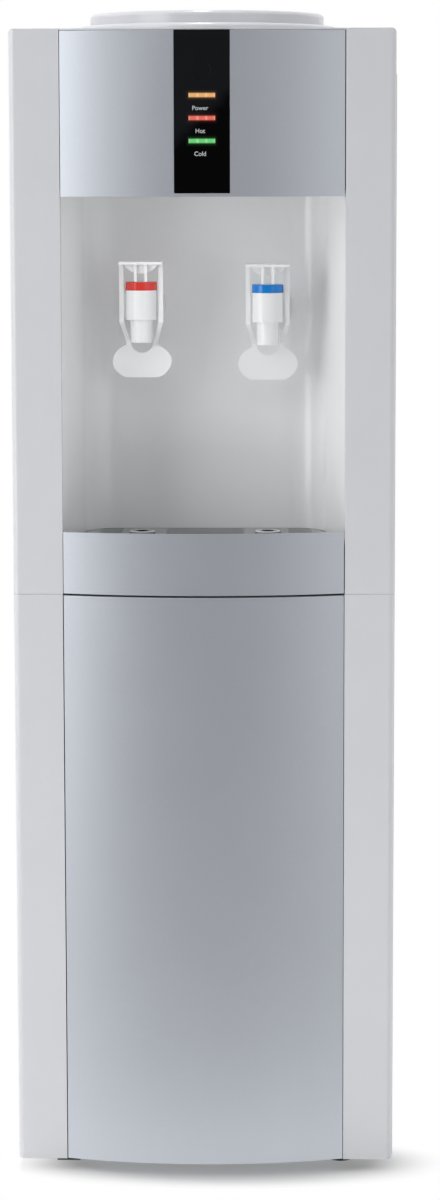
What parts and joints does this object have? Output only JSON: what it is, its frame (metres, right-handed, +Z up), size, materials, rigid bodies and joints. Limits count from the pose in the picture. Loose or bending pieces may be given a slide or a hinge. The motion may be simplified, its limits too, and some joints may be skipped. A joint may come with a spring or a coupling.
{
  "type": "water cooler",
  "caption": "Floor-standing water cooler with a top bottle seat, hot and cold lever taps in a niche, a drip tray and a storage cupboard with a hinged door.",
  "frame": {"origin": "on the floor under the middle of the overall box", "axes": "+Z up, front towards -Y, +X to the viewer's right"},
  "size_m": [0.3116, 0.3535, 0.9584],
  "materials": {
    "white_plastic": "glossy white moulded plastic",
    "niche_plastic": "high gloss off-white moulded plastic",
    "white_sheet": "white powder coat on sheet steel",
    "grey_sheet": "galvanised sheet steel",
    "silver_paint": "satin silver lacquer on plastic",
    "black_window": "high gloss black",
    "amber_lens": "translucent amber, lit",
    "red_lens": "translucent red, lit",
    "green_lens": "translucent green, lit",
    "tap_white": "glossy white food-grade plastic",
    "lever_white": "milky translucent plastic",
    "cap_red": "glossy red",
    "cap_blue": "glossy blue",
    "dark_plastic": "glossy dark grey",
    "black_plastic": "matt black",
    "black_metal": "satin black paint on steel",
    "compressor_black": "satin black paint",
    "steel": "plain steel",
    "foam": "expanded polystyrene",
    "silicone": "milky silicone",
    "rubber": "matt black rubber",
    "copper": "bare copper tube",
    "board_green": "circuit board",
    "rocker_red": "glossy red",
    "rocker_green": "glossy green"
  },
  "bodies": {
    "root": {"base_plate": "grey_sheet", "feet": "rubber", "side_panel_left": "white_sheet", "side_panel_right": "white_sheet", "back_panel": "grey_sheet", "upper_front_frame": "white_plastic", "lower_front_frame": "white_plastic", "top_cover": "white_plastic", "bottle_seat": "white_plastic", "feed_probe": "white_plastic", "top_fascia": "silver_paint", "display_window": "black_window", "power_lens": "amber_lens", "hot_lens": "red_lens", "cold_lens": "green_lens", "control_board": "board_green", "dispensing_niche": "niche_plastic", "storage_liner": "white_plastic", "tank_shelf": "grey_sheet", "cold_tank": "steel", "cold_tank_foam": "foam", "evaporator_coil": "copper", "hot_tank": "steel", "hot_tank_foam": "foam", "thermostats": "black_plastic", "water_hoses": "silicone", "drain_fitting": "white_plastic", "compressor": "compressor_black", "compressor_grommets": "rubber", "start_relay": "black_plastic", "condenser": "black_metal", "filter_drier": "copper", "refrigerant_pipes": "copper", "switch_bodies": "black_plastic", "cable_gland": "black_plastic", "tap_nuts": "tap_white", "hot_tap_body": "tap_white", "cold_tap_body": "tap_white", "hot_tap_cap": "cap_red", "cold_tap_cap": "cap_blue", "hot_tap_spring": "steel", "cold_tap_spring": "steel", "upper_hinge": "black_metal", "lower_hinge": "black_metal", "magnet_catch": "black_plastic"},
    "hot_stem": {"hot_tap_stem": "tap_white", "hot_tap_seal": "silicone"},
    "cold_stem": {"cold_tap_stem": "tap_white", "cold_tap_seal": "silicone"},
    "hot_lever": {"hot_lever": "lever_white"},
    "cold_lever": {"cold_lever": "lever_white"},
    "door": {"door_panel": "silver_paint", "door_liner": "white_plastic", "strike_plate": "steel"},
    "tray": {"tray_front": "silver_paint", "drip_basin": "dark_plastic"},
    "grille": {"drip_grille": "dark_plastic"},
    "hot_switch": {"hot_rocker": "rocker_red"},
    "cold_switch": {"cold_rocker": "rocker_green"},
    "drain_cap": {"drain_cap": "white_plastic"}
  },
  "joints": [
    {"name": "hot_stem_lift", "type": "slide", "parent": "root", "child": "hot_stem", "axis": [0, 0, 1], "range_m": [0, 0.003], "deforming": ["hot_tap_spring"]},
    {"name": "hot_lever_tilt", "type": "hinge", "parent": "hot_stem", "child": "hot_lever", "pos_m": [-0.052, -0.09925, 0.7476], "axis": [1, 0, 0], "range_deg": [0, 15], "stiffness_Nm_per_rad": 0.5, "springref_deg": -11.46},
    {"name": "cold_stem_lift", "type": "slide", "parent": "root", "child": "cold_stem", "axis": [0, 0, 1], "range_m": [0, 0.003], "deforming": ["cold_tap_spring"]},
    {"name": "cold_lever_tilt", "type": "hinge", "parent": "cold_stem", "child": "cold_lever", "pos_m": [0.052, -0.09925, 0.7454], "axis": [1, 0, 0], "range_deg": [0, 15], "stiffness_Nm_per_rad": 0.5, "springref_deg": -11.46},
    {"name": "door_hinge", "type": "hinge", "parent": "root", "child": "door", "pos_m": [-0.108, -0.15625, 0.247], "axis": [0, 0, -1], "range_deg": [0, 95]},
    {"name": "tray_slide", "type": "slide", "parent": "root", "child": "tray", "axis": [0, -1, 0], "range_m": [0, 0.12]},
    {"name": "grille_lift", "type": "slide", "parent": "tray", "child": "grille", "axis": [0, 0, 1], "range_m": [0, 0.06]},
    {"name": "hot_switch_rock", "type": "hinge", "parent": "root", "child": "hot_switch", "pos_m": [0.045, 0.13925, 0.878], "axis": [1, 0, 0], "range_deg": [0, 16]},
    {"name": "cold_switch_rock", "type": "hinge", "parent": "root", "child": "cold_switch", "pos_m": [0.077, 0.13925, 0.878], "axis": [1, 0, 0], "range_deg": [0, 16]},
    {"name": "drain_cap_pull", "type": "slide", "parent": "root", "child": "drain_cap", "axis": [0, 1, 0], "range_m": [0, 0.03]}
  ],
  "couplings": [
    {"joint": "hot_stem_lift", "follows": "hot_lever_tilt", "m_per_rad": 0.011077},
    {"joint": "cold_stem_lift", "follows": "cold_lever_tilt", "m_per_rad": 0.011077}
  ]
}
